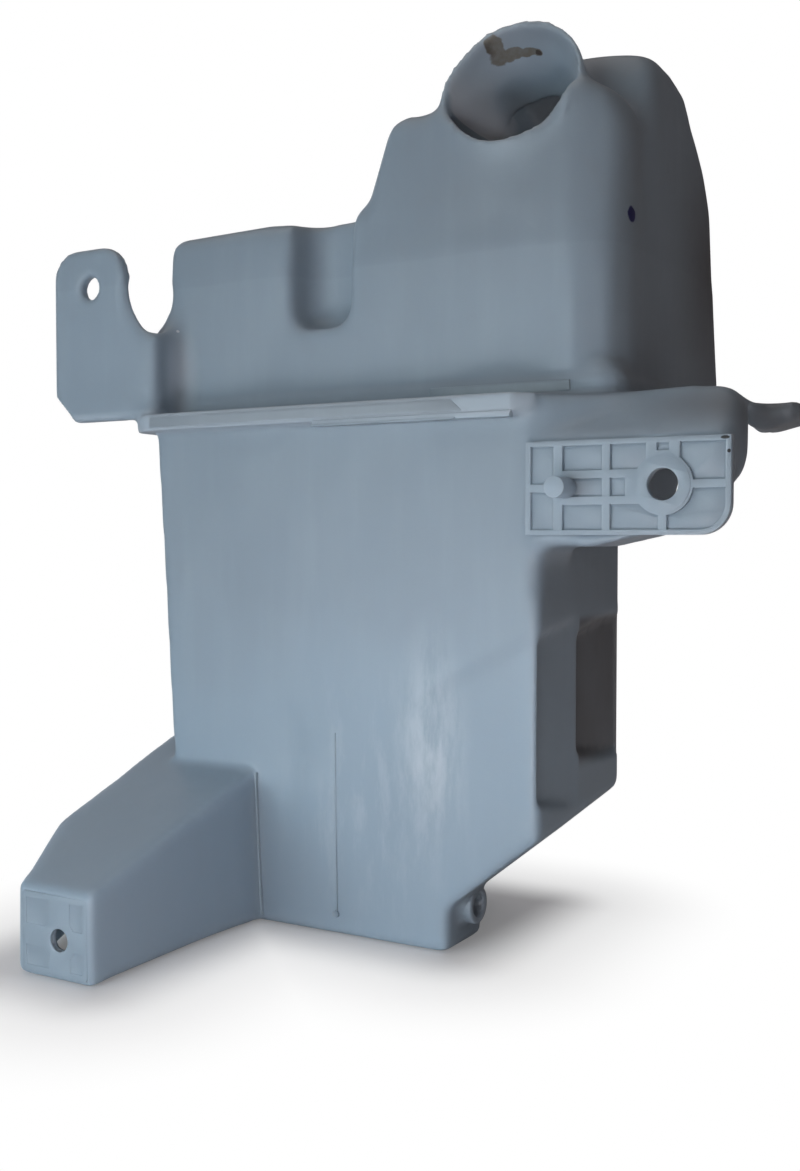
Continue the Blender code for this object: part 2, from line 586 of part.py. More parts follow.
def bracket():
    """The main bracket: ribbed plate, bolt hole in a boss, locating pin, and open webs behind."""
    face = -BRACKET_PROUD
    corners = [(BRACKET_LEFT, BRACKET_BOTTOM), (BRACKET_RIGHT, BRACKET_BOTTOM),
               (BRACKET_RIGHT, BRACKET_TOP), (BRACKET_LEFT, BRACKET_TOP)]
    radii = [0, BRACKET_CORNER_RADIUS, 0, 0]
    plate = prism("bracket_plate", rounded(corners, radii), "y", face, face + LUG_THICKNESS)

    bolt = (BRACKET_RIGHT - BOLT_INSET, BRACKET_BOTTOM + BOLT_HEIGHT)
    field = prism("cell_field", rounded(inset(corners, RIM_WIDTH),
                                        [0, BRACKET_CORNER_RADIUS - RIM_WIDTH, 0, 0]), "y",
                  face - OVERRUN, face + CELL_DEPTH)
    boss = cylinder("bolt_boss", (bolt[0], face - OVERRUN * 2, bolt[1]),
                    (bolt[0], face + OVERRUN, bolt[1]), BOSS_RADIUS, segments=48)
    blocks = [block(f"cell_{index}", (BRACKET_LEFT + left, face - OVERRUN / 2, BRACKET_BOTTOM + low),
                    (BRACKET_LEFT + right, face + OVERRUN / 2, BRACKET_BOTTOM + high))
              for index, (left, right, low, high) in enumerate(bracket_cells())]
    cells = blocks[0]
    for other in blocks[1:]:
        boolean(cells, other, "UNION")
    boolean(cells, field, "INTERSECT")
    boolean(cells, boss, "DIFFERENCE")
    boolean(plate, cells, "DIFFERENCE")

    pin_x = BRACKET_LEFT + PIN_INSET
    pin_z = BRACKET_BOTTOM + BRACKET_HEIGHT / 2
    pin = cylinder("locating_pin", (pin_x, face + LUG_THICKNESS / 2, pin_z),
                   (pin_x, face - PIN_LENGTH, pin_z), PIN_RADIUS, segments=24)
    boolean(plate, round_edges(pin, PIN_EDGE_RADIUS, segments=2), "UNION")

    ceiling = FLANGE_TOP - 2 * HAIR
    hood = [(face, BRACKET_TOP - BRACKET_HOOD_THICKNESS),
            (BRACKET_SHELF_FRONT + BRACKET_HOOD_THICKNESS, SEAM + 2 * HAIR),
            (BRACKET_DEPTH, SEAM + 2 * HAIR), (BRACKET_DEPTH, ceiling),
            (BRACKET_SHELF_FRONT, ceiling), (face, BRACKET_TOP)]
    boolean(plate, prism("bracket_hood", hood, "x", BRACKET_LEFT + HAIR, SHELF_RIGHT), "UNION")
    cheek_back = BRACKET_DEPTH - 2 * HAIR
    cheek = [(face + HAIR, BRACKET_BOTTOM + BRACKET_CORNER_RADIUS),
             (cheek_back, BRACKET_BOTTOM + BRACKET_CHEEK_RISE), (cheek_back, FLANGE_TOP - BITE),
             (BRACKET_SHELF_FRONT, FLANGE_TOP - BITE), (face + HAIR, BRACKET_TOP - HAIR)]
    boolean(plate, prism("bracket_cheek", cheek, "x", SHELF_RIGHT - WEB_THICKNESS,
                         SHELF_RIGHT - HAIR), "UNION")
    floor_right = LOWER_RIGHT + BRACKET_FLOOR_WIDTH
    floor_left = BRACKET_LEFT + 2 * HAIR
    under = BRACKET_BOTTOM - WEB_THICKNESS
    floor = [(floor_left, under), (floor_right - BRACKET_FLOOR_WIDTH / 2, under),
             (floor_right, BRACKET_BOTTOM + HAIR), (floor_right, BRACKET_BOTTOM + WEB_THICKNESS),
             (floor_left, BRACKET_BOTTOM + BITE)]
    boolean(plate, prism("bracket_floor", floor, "y", face + BITE, BRACKET_DEPTH - BITE), "UNION")
    gusset = [(face + BITE * 2, BRACKET_BOTTOM + BITE * 2),
              (BRACKET_GUSSET_LEVEL, BRACKET_BOTTOM + BITE * 2),
              (BRACKET_SHELF_FRONT + SHELF_DEPTH - BITE, SEAM - WEB_THICKNESS),
              (BRACKET_SHELF_FRONT + SHELF_DEPTH - BITE, SEAM + BITE * 2),
              (BRACKET_SHELF_FRONT + BITE, SEAM + BITE * 2),
              (face + BITE * 2, BRACKET_TOP - BITE)]
    gusset_right = BRACKET_RIGHT - BRACKET_GUSSET_INSET
    boolean(plate, prism("bracket_gusset", gusset, "x", gusset_right - WEB_THICKNESS,
                         gusset_right), "UNION")

    hole = cylinder("bolt_hole", (bolt[0], face - OVERRUN, bolt[1]),
                    (bolt[0], face + LUG_THICKNESS + OVERRUN / 2, bolt[1]), BOLT_HOLE_RADIUS)
    return boolean(plate, hole, "DIFFERENCE")


def shelf():
    """The flat shelf beside the flange, and the thin tab at its right end with a rib under it."""
    side = SHELF_RIGHT - 2 * HAIR
    plate = block("shelf", (UPPER_RIGHT, BRACKET_SHELF_FRONT, SEAM + HAIR / 2),
                  (side, BRACKET_SHELF_FRONT + SHELF_DEPTH, FLANGE_TOP - HAIR / 2))
    root = side - BITE
    tip = SHELF_RIGHT + TAB_REACH
    middle = BRACKET_SHELF_FRONT + TAB_BACK
    near = middle - TAB_WIDTH / 2
    far = middle + TAB_WIDTH / 2
    outline = [(root, near), (tip, near), (tip, far), (root, far)]
    radii = [0, TAB_CORNER_RADIUS, TAB_CORNER_RADIUS, 0]
    boolean(plate, prism("tab", rounded(outline, radii), "z", SEAM + HAIR, SEAM + TAB_THICKNESS),
            "UNION")
    rib = [(root - TAB_RIB_RUN, SEAM + 2 * HAIR), (root, SEAM - TAB_RIB_DROP),
           (tip - 2 * BITE, SEAM + 2 * HAIR)]
    return boolean(plate, prism("tab_rib", rib, "y", middle - TAB_RIB_WIDTH / 2,
                                middle + TAB_RIB_WIDTH / 2), "UNION")


def foot_shape(name, skin):
    """The foot's outside or its pocket: a plan that flares to the left, under a sloping ramp."""
    left_back = FOOT_LEFT - FOOT_FLARE
    root = FOOT_ROOT_DEPTH + skin * 2
    behind_wall = LOWER_LEFT + LOWER_LEFT_LEAN + FOOT_EDGE_RADIUS
    plan = [(FOOT_RIGHT, -FOOT_LENGTH), (FOOT_RIGHT, root), (behind_wall, root),
            (behind_wall, FOOT_WING_DEPTH), (left_back, FOOT_FLARE_DEPTH),
            (FOOT_LEFT - FOOT_KNUCKLE_OUT, FOOT_KNUCKLE_BACK - FOOT_LENGTH),
            (FOOT_LEFT, -FOOT_LENGTH)]
    slope = FOOT_ROOT_RISE / FOOT_LENGTH
    ramp = [(-FOOT_LENGTH, -skin), (FOOT_WING_DEPTH, -skin),
            (FOOT_WING_DEPTH, FOOT_END_HEIGHT + FOOT_ROOT_RISE + FOOT_WING_DEPTH * slope),
            (-FOOT_LENGTH, FOOT_END_HEIGHT)]
    shape = prism(name, inset(plan, skin), "z", -OVERRUN, SEAM)
    low = inset(ramp, skin)
    profile = prism(f"{name}_ramp", low if skin == 0 else
                    [(low[0].x, -OVERRUN), (low[1].x, -OVERRUN), low[2], low[3]], "x",
                    left_back - OVERRUN, FOOT_RIGHT + OVERRUN)
    return boolean(shape, profile, "INTERSECT")


def foot():
    """The hollow foot, open underneath, with a bolt hole through its end."""
    shape = round_edges(foot_shape("foot_outside", 0.0), FOOT_EDGE_RADIUS, segments=2)
    pocket = foot_shape("foot_pocket", WEB_THICKNESS)
    boolean(shape, pocket, "DIFFERENCE")
    hole_x = FOOT_RIGHT - FOOT_HOLE_INSET
    hole = cylinder("foot_hole", (hole_x, -FOOT_LENGTH - OVERRUN, FOOT_HOLE_HEIGHT),
                    (hole_x, -FOOT_LENGTH + WEB_THICKNESS + OVERRUN, FOOT_HOLE_HEIGHT),
                    FOOT_HOLE_RADIUS)
    return boolean(shape, hole, "DIFFERENCE")


def port(radius, overrun):
    """The pump port's boss, or its bore, on the side of the sump."""
    return cylinder(f"port_{'boss' if overrun == 0 else 'bore'}",
                    (SUMP_RIGHT - WALL - BITE - overrun, PORT_BACK, PORT_HEIGHT),
                    (SUMP_RIGHT + PORT_LENGTH + overrun, PORT_BACK, PORT_HEIGHT), radius)


for left_over in list(bpy.data.objects):
    bpy.data.objects.remove(left_over, do_unlink=True)
finished = own_collection("washer_fluid_reservoir")
construction = own_collection("construction_shapes")

plastic = bpy.data.materials.new("milky_polyethylene")
plastic.use_nodes = True
shader = plastic.node_tree.nodes["Principled BSDF"]
shader.inputs["Base Color"].default_value = (0.72, 0.77, 0.82, 1.0)
shader.inputs["Roughness"].default_value = 0.42
shader.inputs["Metallic"].default_value = 0.0

# The outside of every form is joined first, then the inside of the chambers is taken out of it
tank = lower_chamber(0.0)
construction.objects.unlink(tank)
finished.objects.link(tank)
tank.name = "reservoir_tank"
tank.hide_render = False
tank.display_type = "TEXTURED"
for addition in (upper_chamber(0.0), hump(0.0), neck(0.0), flange(), ear(), shelf(), bracket(),
                 foot(), port(PORT_RADIUS, 0.0)):
    boolean(tank, addition, "UNION")
cavity = lower_chamber(WALL)
for hollow in (upper_chamber(WALL), hump(WALL), neck(WALL)):
    boolean(cavity, hollow, "UNION")
boolean(tank, cavity, "DIFFERENCE")
boolean(tank, port(PORT_BORE_RADIUS, OVERRUN / 2), "DIFFERENCE")
tank.data.materials.clear()
tank.data.materials.append(plastic)

# The origin goes to the middle of the footprint, on the base
footprint_x = (EAR_LEFT + SHELF_RIGHT + TAB_REACH) / 2
footprint_y = (FLANGE_BACK - FOOT_LENGTH) / 2
centring = bpy.data.objects.new("footprint_centre", None)
finished.objects.link(centring)
for shape in [tank, *construction.objects]:
    shape.parent = centring
centring.location = (-footprint_x, -footprint_y, 0.0)
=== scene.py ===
"""A washer fluid reservoir, blow moulded in milky polyethylene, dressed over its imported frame."""
import math

import bmesh
import bpy
import numpy as np
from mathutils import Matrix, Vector


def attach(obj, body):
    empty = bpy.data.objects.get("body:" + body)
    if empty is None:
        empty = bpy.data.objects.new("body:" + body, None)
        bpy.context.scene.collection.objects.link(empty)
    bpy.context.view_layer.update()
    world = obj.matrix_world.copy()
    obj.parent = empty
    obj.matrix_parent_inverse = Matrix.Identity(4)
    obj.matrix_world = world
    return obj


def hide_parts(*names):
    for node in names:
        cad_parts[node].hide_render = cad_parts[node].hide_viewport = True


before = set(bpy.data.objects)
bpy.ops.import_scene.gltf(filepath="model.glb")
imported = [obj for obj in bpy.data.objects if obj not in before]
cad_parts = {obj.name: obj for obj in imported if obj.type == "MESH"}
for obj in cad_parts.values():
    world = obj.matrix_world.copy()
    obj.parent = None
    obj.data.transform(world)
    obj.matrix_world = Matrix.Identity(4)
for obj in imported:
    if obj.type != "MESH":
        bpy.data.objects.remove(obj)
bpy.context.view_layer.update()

# Tank shell: the whole hollow blow moulding with its flange, ear, foot and shelf.
# Milky polyethylene, blown as one tube against the mould, so every edge is soft
# and the walls bow and sink a little where they cooled.
MM = 0.001
WALL_VOXEL = 1.15 * MM
MERGE_DISTANCE = 0.01 * MM
SHELL_TRIANGLES = 185000
WEIGHT_STEPS = 50
EDGE_PASSES, BLEND_PASSES = 14, 90


def take_up(piece):
    """Leaves the piece as the only one that is selected, and active."""
    bpy.ops.object.select_all(action="DESELECT")
    piece.select_set(True)
    bpy.context.view_layer.objects.active = piece


def work_on(piece):
    """Opens the piece in edit mode with nothing selected on it."""
    take_up(piece)
    bpy.ops.object.mode_set(mode="EDIT")
    bpy.ops.mesh.select_all(action="DESELECT")


def put_down():
    """Closes edit mode."""
    bpy.ops.object.mode_set(mode="OBJECT")


def choose(kind, wanted):
    """Selects the open piece's faces, edges or vertices by their middle and normal or direction."""
    bpy.ops.mesh.select_mode(type=kind)
    bpy.ops.mesh.select_all(action="DESELECT")
    mesh = bmesh.from_edit_mesh(bpy.context.edit_object.data)
    mesh.normal_update()
    if kind == "FACE":
        for face in mesh.faces:
            face.select_set(wanted(face.calc_center_median(), face.normal))
    elif kind == "EDGE":
        for edge in mesh.edges:
            ends = [vert.co for vert in edge.verts]
            edge.select_set(wanted((ends[0] + ends[1]) / 2, (ends[1] - ends[0]).normalized()))
    else:
        for vert in mesh.verts:
            vert.select_set(wanted(vert.co, vert.normal))
    mesh.select_flush_mode()
    bmesh.update_edit_mesh(bpy.context.edit_object.data)


def finish_with(piece, kind, **settings):
    """Adds a modifier with these settings and applies it."""
    take_up(piece)
    modifier = piece.modifiers.new(kind.lower(), kind)
    for name, value in settings.items():
        setattr(modifier, name, value)
    bpy.ops.object.modifier_apply(modifier=modifier.name)


def add_block(name, low, high):
    """A box between two corners, in millimetres, ready to be shaped."""
    bpy.ops.object.select_all(action="DESELECT")
    middle = [(a + b) / 2 * MM for a, b in zip(low, high)]
    bpy.ops.mesh.primitive_cube_add(size=1, location=middle)
    piece = bpy.context.object
    piece.name = piece.data.name = name
    piece.scale = [(b - a) * MM for a, b in zip(low, high)]
    bpy.ops.object.transform_apply(location=True, rotation=True, scale=True)
    return piece


def carve(piece, tool, operation="DIFFERENCE"):
    """Cuts the tool out of the piece, or joins it on, and throws the tool away."""
    finish_with(piece, "BOOLEAN", object=tool, operation=operation, solver="EXACT")
    bpy.data.objects.remove(tool)


def places(piece):
    """The piece's points as one table, in millimetres."""
    table = np.empty(len(piece.data.vertices) * 3)
    piece.data.vertices.foreach_get("co", table)
    return table.reshape(-1, 3) / MM


def group_by_weight(piece, name, weights):
    """A vertex group with one weight for each point, rounded to even steps."""
    group = piece.vertex_groups.new(name=name)
    steps = np.clip(np.round(weights * WEIGHT_STEPS), 0, WEIGHT_STEPS).astype(int)
    for step in range(1, WEIGHT_STEPS + 1):
        members = np.nonzero(steps == step)[0]
        if len(members):
            group.add(members.tolist(), step / WEIGHT_STEPS, "REPLACE")


def ramp(values, start, end):
    """0 before start, 1 after end, and an even soft rise between them."""
    share = np.clip((values - start) / (end - start), 0, 1)
    return share * share * (3 - 2 * share)


def inside(values, low, high, soft):
    """1 between low and high, falling softly to 0 outside them."""
    return ramp(values, low - soft, low) * (1 - ramp(values, high, high + soft))


tank_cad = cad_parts["reservoir_tank"]
tank_shell = tank_cad.copy()
tank_shell.data = tank_cad.data.copy()
tank_shell.parent = None
for key in list(tank_shell.keys()):
    del tank_shell[key]
tank_shell.name = tank_shell.data.name = "tank_shell"
bpy.context.scene.collection.objects.link(tank_shell)
work_on(tank_shell)
bpy.ops.mesh.select_all(action="SELECT")
bpy.ops.mesh.remove_doubles(threshold=MERGE_DISTANCE)
put_down()


def shift(piece, moves):
    """Moves the piece's points by a table of millimetres."""
    table = (places(piece) + moves) * MM
    piece.data.vertices.foreach_set("co", table.ravel())
    piece.data.update()


def hill(values, middle, reach):
    """1 at the middle, falling like a bell on both sides."""
    return np.exp(-((values - middle) / reach) ** 2)


def add_rod(name, middle, low, high, radius, sides=48):
    """A round rod along Y about a point (x, z), in millimetres, ready to be shaped."""
    bpy.ops.object.select_all(action="DESELECT")
    bpy.ops.mesh.primitive_cylinder_add(vertices=sides, radius=radius * MM, depth=(high - low) * MM,
                                        location=(middle[0] * MM, (low + high) / 2 * MM, middle[1] * MM),
                                        rotation=(math.pi / 2, 0, 0))
    piece = bpy.context.object
    piece.name = piece.data.name = name
    bpy.ops.object.transform_apply(location=True, rotation=True, scale=True)
    return piece


# Beds for the ribbed plate and the foot's pad, and the soft fillet under the bracket's floor
plate_bed = add_block("plate_bed", (62.0, -45.0, 133.0), (128.0, -26.9, 162.2))
carve(tank_shell, plate_bed)
pad_bed = add_block("pad_bed", (-69.3, -110.0, 1.6), (-42.7, -106.6, 26.2))
carve(tank_shell, pad_bed)
FILLET = 7.5
FILLET_WALL, FILLET_TOP = 65.5, 131.6
fillet = add_block("floor_fillet", (65.0, -26.2, FILLET_TOP - FILLET),
                   (FILLET_WALL + FILLET, -1.6, 132.0))
carve(fillet, add_rod("fillet_round", (FILLET_WALL + FILLET, FILLET_TOP - FILLET), -60, 10, FILLET,
                      sides=64))
carve(tank_shell, fillet, "UNION")

# The hood's root runs into the front wall, and a rib under the ear's valley leans onto the left wall
hood_root = add_block("hood_root", (60.0, -26.1, 161.0), (94.0, -10.0, 177.0))
work_on(hood_root)
choose("VERT", lambda at, normal: at.x > 0.09 and at.y < -0.02 and at.z > 0.17)
bpy.ops.transform.translate(value=(0, 15.0 * MM, 0))
choose("VERT", lambda at, normal: at.x > 0.09 and at.y < -0.02 and at.z < 0.17)
bpy.ops.transform.translate(value=(0, 0.8 * MM, 0))
put_down()
carve(tank_shell, hood_root, "UNION")
valley = add_block("valley_fillet", (-103.0, -12.5, 179.0), (-91.0, -4.0, 222.0))
work_on(valley)
choose("VERT", lambda at, normal: at.x < -0.1 and at.z < 0.19)
bpy.ops.transform.translate(value=(8.0 * MM, 0, 0))
put_down()
carve(valley, add_rod("valley_round", (-104.0, 221.8), -60, 10, 12.6, sides=64))
carve(tank_shell, valley, "UNION")

# The neck's bore runs on as a tapered tube, inside the lobe behind the mouth
MOUTH_MIDDLE = np.array([43.4, -1.25, 281.4])
MOUTH_AXIS = np.array([0.048525, -0.925913, 0.374607])
BORE_RADIUS = 20.8
NECK_TAPER = 5 / 45
SLEEVE_START, SLEEVE_END, SLEEVE_WALL = 3.0, 32.0, 2.2


def add_cone(name, start, end, radius, taper):
    """A tapered rod down the neck's axis between two depths below the mouth, in millimetres."""
    bpy.ops.object.select_all(action="DESELECT")
    middle = MOUTH_MIDDLE - MOUTH_AXIS * (start + end) / 2
    bpy.ops.mesh.primitive_cone_add(vertices=96, radius1=(radius - taper * start) * MM,
                                    radius2=(radius - taper * end) * MM, depth=(end - start) * MM,
                                    location=[c * MM for c in middle],
                                    rotation=Vector(-MOUTH_AXIS).to_track_quat("Z", "Y").to_euler())
    piece = bpy.context.object
    piece.name = piece.data.name = name
    bpy.ops.object.transform_apply(location=True, rotation=True, scale=True)
    return piece


sleeve = add_cone("neck_sleeve", SLEEVE_START, SLEEVE_END, BORE_RADIUS + SLEEVE_WALL, NECK_TAPER)
carve(sleeve, add_cone("sleeve_bore", SLEEVE_START - 1, SLEEVE_END + 1, BORE_RADIUS, NECK_TAPER))
carve(sleeve, add_block("lobe_room", (26.0, -20.0, 230.0), (80.0, 60.0, 292.5)), "INTERSECT")
carve(tank_shell, sleeve, "UNION")
finish_with(tank_shell, "REMESH", mode="VOXEL", voxel_size=WALL_VOXEL, adaptivity=0)


def from_mouth(at):
    """How far each point lies below the mouth's plane, how far off its axis, and at what angle."""
    away = at - MOUTH_MIDDLE
    below = -away @ MOUTH_AXIS
    across = away + below[:, None] * MOUTH_AXIS
    up = np.cross(MOUTH_AXIS, [1.0, 0.0, 0.0])
    return below, np.linalg.norm(across, axis=1), np.arctan2(across @ up, across[:, 0])


def rounded_off(u, v, radius, present):
    """How far points beside a corner move when its radius grows, u and v from the new arc's centre."""
    reach = np.hypot(u, v)
    reach[reach < 1e-6] = 1e-6
    across, up = u / reach, v / reach
    square = radius / np.maximum(across, up).clip(1e-6)
    inner = radius - present
    both = across + up
    arc = inner * both + np.sqrt(np.maximum((inner * both) ** 2 - 2 * inner ** 2 + present ** 2, 0))
    on_arc = np.minimum(across, up) * square > inner
    outline = np.where(on_arc, arc, square)
    share = np.where((u > 0) & (v > 0), radius / outline - 1, 0)
    return u * share, v * share


# Corners of the shoulder, the front's right edge, the hood and the hump are rounder than the solid's,
# and the shelf's end sinks into a thicker tab
at = places(tank_shell)
x, y, z = at.T
moves = np.zeros_like(at)
corner = (x > 60) & (y < 8) & (z > 250)
du, dv = rounded_off(x - 66.0, z - 260.0, 18.0, 8.0)
fade = corner * (1 - ramp(y, 14, 24))
moves[:, 0] += du * fade
moves[:, 2] += dv * fade
shift(tank_shell, moves)
at = places(tank_shell)
x, y, z = at.T
moves = np.zeros_like(at)
du, dv = rounded_off(x - 65.0, 9.75 - y, 19.0, 8.0)
fade = inside(z, 190, 285, 5) * (x > 70)
moves[:, 0] += du * fade
moves[:, 1] -= dv * fade
moves[:, 2] += (1.1 * ramp(x, 76, 118) * ramp(z, 163, 174) * (1 - ramp(z, 180, 186))
                * (1 - ramp(y, -10, -4)))
moves[:, 2] -= (z - 174.2).clip(0, 4) * ramp(x, 98, 117) * ramp(y, -9, 1) * (z < 180)
underside = 165.2 + 0.25 * (x - 121).clip(0, 14)
thicken = ramp(x, 115, 120) * inside(y, 7.5, 33, 1) * (1 - ramp(z, 171.6, 173.8)) * (z > 160)
moves[:, 2] -= (z - underside) * thicken
run_out = (ramp(x, 57, 65) * (1 - ramp(x, 68, 70)) * inside(z, 170.5, 178.5, 1)
           * (1 - ramp(y, -26.5, -25)))
moves[:, 1] += 3.6 * run_out
shift(tank_shell, moves)
at = places(tank_shell)
x, y, z = at.T
moves = np.zeros_like(at)
roof = 162.2 + 0.86 * np.clip(y + 29.25, 0, 18)
wrap = 3.5 + 4.0 * ramp(y, -29, -15)
du, dv = rounded_off(x - 123.0 + wrap, z - roof + wrap, wrap, 0.5)
fade = (1 - ramp(y, -9, 1)) * (z > 152) * (x < 125) * (x > 100)
moves[:, 0] += du * fade
moves[:, 2] += dv * fade
moves[:, 0] += (3.0 * hill(y, -17, 9) * ramp(x, 117, 122.5) * ramp(z, 131, 163)
                * (1 - ramp(z, 172, 180)) * (y < 4))
du, dv = rounded_off(x - 73.0, z - 284.0, 11.0, 8.0)
fade = ramp(y, 17, 24) * (z > 250) * (1 - ramp(y, 60, 80)) * (x < 86)
moves[:, 0] += du * fade
moves[:, 2] += dv * fade
moves[:, 2] += 1.6 * ramp(y, 19, 24) * ramp(z, 270, 288) * ramp(x, 30, 72)
shift(tank_shell, moves)

# The remeshed edges are softened, least where the real edges are crisp
at = places(tank_shell)
x, y, z = at.T
below_lip, off_axis, round_lip = from_mouth(at)
crisp = np.maximum.reduce([
    inside(z, 170.2, 178.4, 1.5) * (1 - inside(x, -92, 83, 1) * inside(y, -24, 102, 1)),
    inside(x, -136, -88, 3) * inside(z, 178, 245, 3) * 0.45,
    inside(y, -110, -102, 3) * 0.8,
    inside(x, 68, 112, 2) * inside(z, 128, 179, 2) * 0.7,
    inside(below_lip, -4, 5, 3) * inside(off_axis, 0, 26, 2) * 0.75,
    inside(x, 60, 70, 1) * inside(z, 30, 109, 2) * 0.6])
group_by_weight(tank_shell, "soft_edges", 1 - crisp * 0.8)
finish_with(tank_shell, "SMOOTH", factor=0.5, iterations=EDGE_PASSES, vertex_group="soft_edges")

# The walls bow a little, the lower right of the front is drawn in below a slanting crease,
# and the shoulder falls away to a valley before the hump
at = places(tank_shell)
x, y, z = at.T
below_lip, off_axis, round_lip = from_mouth(at)
moves = np.zeros_like(at)
front = 1 - ramp(y, -22, -14)
drawn_in = ramp(x, 24.0, 33.0) * ramp(84.6 + 0.58 * (x - 30.6) - z, -3.5, 4.5) * ramp(z, 10, 40)
lower_front = front * inside(z, 6, 160, 8) * inside(x, -78, 90, 6)
wave = (0.22 * np.sin(x / 13 + 1.3) * np.sin(z / 19 + 0.4)
        + 0.12 * np.sin(x / 7.1 + 2) * np.sin(z / 9.7 + 1))
moves[:, 1] += drawn_in * front * 0.45
moves[:, 1] -= front * 0.35 * hill(x, 27, 5) * inside(z, 48, 88, 16)
moves[:, 1] += lower_front * wave
moves[:, 1] += (front * 0.8 * hill(x, -26, 9) * hill(z, 62, 13)
                - front * 0.45 * hill(x, -17, 7) * hill(z, 47, 10))
moves[:, 1] -= (front * 0.22 * (1 - ramp(x, -8.6, -7.6)) * ramp(x, -38, -30)
                * (1 - ramp(z, 50, 74)) * ramp(z, 8, 14))
upper_front = (1 - ramp(y, -6, 0)) * inside(z, 190, 238, 6) * inside(x, -86, 76, 6) * (y > -14)
moves[:, 1] += upper_front * wave * 1.2
moves[:, 0] -= (1.3 * ramp(y, 8, 42) * ramp(x, 60, 63) * inside(z, 60, 104, 3)
                * inside(y, 7.5, 43, 1) * (x < 67))
right = ramp(x, 80, 83) * inside(y, -2, 96, 8) * inside(z, 190, 262, 10)
moves[:, 0] += right * (0.3 * np.sin(y / 15 + 0.7) * np.sin(z / 21) - 0.15)
moves[:, 2] -= 12 * hill(y, 17, 8) * ramp(x, 60, 86) * ramp(z, 250, 276)
moves[:, 0] -= 1.8 * hill(y, 17, 5) * ramp(z, 205, 262) * ramp(x, 74, 82)
under_lip = hill(x, 40.0, 17) * ramp(z, 232, 257) * (1 - ramp(z, 264, 274)) * (1 - ramp(y, -4, 2))
moves[:, 1] -= 1.6 * under_lip * ramp(off_axis, 23.5, 26.5)

# The mouth's rim was trimmed by hand: its outline and its edge are uneven, and the foot's root flares
lip = inside(off_axis, 17.5, 25.5, 2) * (1 - ramp(below_lip, 3, 15)) * (below_lip > -5)
top_half = (lip > 0.9) & (below_lip > 1) & (below_lip < 4) & (round_lip > 0.6) & (round_lip < 2.6)
outermost = np.percentile(off_axis[top_half], 97)
lip_angles = np.radians([-180, -162, -140, -110, -60, -28, -3, 15, 47,
                         64, 84, 103, 116, 132, 147, 160, 180])
lip_reach = [24.4, 24.9, 24.0, 24.8, 25.2, 25.7, 25.6, 25.0, 24.0,
             23.5, 23.1, 23.8, 24.1, 23.5, 22.9, 23.6, 24.4]
turns = np.linspace(-0.24, 0.24, 9)
reach = np.mean([np.interp(round_lip + turn, lip_angles, lip_reach) for turn in turns], axis=0)
growth = reach - outermost
outwards = (at - MOUTH_MIDDLE + below_lip[:, None] * MOUTH_AXIS) / off_axis[:, None].clip(1e-6)
moves += (lip * growth)[:, None] * outwards
trimmed = -0.75 + 0.22 * np.sin(3 * round_lip + 0.6) + 0.16 * np.sin(7 * round_lip + 2.1)
rim = inside(off_axis, 18, 26, 1.5) * (1 - ramp(below_lip, 1, 7))
moves -= (rim * trimmed)[:, None] * MOUTH_AXIS
foot_flare = (ramp(x, -48, -42) * (1 - ramp(x, -36, -30)) * ramp(y, -58, -27)
              * (1 - ramp(y, -26.0, -25.0)))
moves[:, 0] += 1.6 * foot_flare * (1 - ramp(z, 6, 50))
HIGHEST = 302.9
moves[:, 2] = np.minimum(moves[:, 2], HIGHEST - z)
shift(tank_shell, moves)

# Where two forms of the moulding meet, they flow into each other
at = places(tank_shell)
x, y, z = at.T
below_lip, off_axis, round_lip = from_mouth(at)
blended = np.maximum.reduce([
    inside(x, -44, -32, 6) * inside(y, -12, 12, 3) * inside(z, 200, 248, 6),
    inside(x, -32, -10, 4) * inside(y, -12, 12, 3) * inside(z, 200, 248, 6) * 0.35,
    inside(y, 8, 32, 5) * inside(x, 66, 90, 5) * inside(z, 195, 296, 8),
    inside(x, 70, 90, 4) * inside(y, -13, 6, 4) * inside(z, 225, 290, 12),
    inside(off_axis, 25, 34, 2.5) * inside(below_lip, 2, 40, 4) * inside(z, 245, 300, 6),
    inside(x, 58, 76, 4) * inside(z, 118, 133, 4) * inside(y, -30, 2, 2) * 0.5,
    inside(x, 112, 127, 4) * inside(z, 150, 180, 5) * inside(y, -24, 0, 4) * 0.35,
    inside(y, 70, 100, 8) * inside(z, 230, 296, 8) * inside(x, 20, 90, 8) * 0.6,
    inside(x, -99, -82, 5) * inside(y, -28, 0, 3) * inside(z, 181, 224, 5),
    inside(x, 55, 84, 6) * inside(y, 18, 40, 5) * inside(z, 246, 296, 6),
    inside(x, 60, 96, 5) * inside(y, -28, -12, 2) * inside(z, 164, 175, 3) * 0.8,
    inside(x, 112, 128, 4) * inside(y, -27, 36, 4) * inside(z, 140, 182, 4) * 0.45,
    inside(y, -96, -38, 10) * (1 - ramp(x, -36, -34)) * (1 - ramp(z, 58, 62)) * 0.22])
group_by_weight(tank_shell, "blended", blended)
finish_with(tank_shell, "SMOOTH", factor=0.5, iterations=BLEND_PASSES, vertex_group="blended")

finish_with(tank_shell, "DECIMATE", decimate_type="COLLAPSE",
            ratio=min(1, SHELL_TRIANGLES / (len(tank_shell.data.polygons) * 2)),
            use_collapse_triangulate=True)
take_up(tank_shell)
bpy.ops.object.shade_smooth()


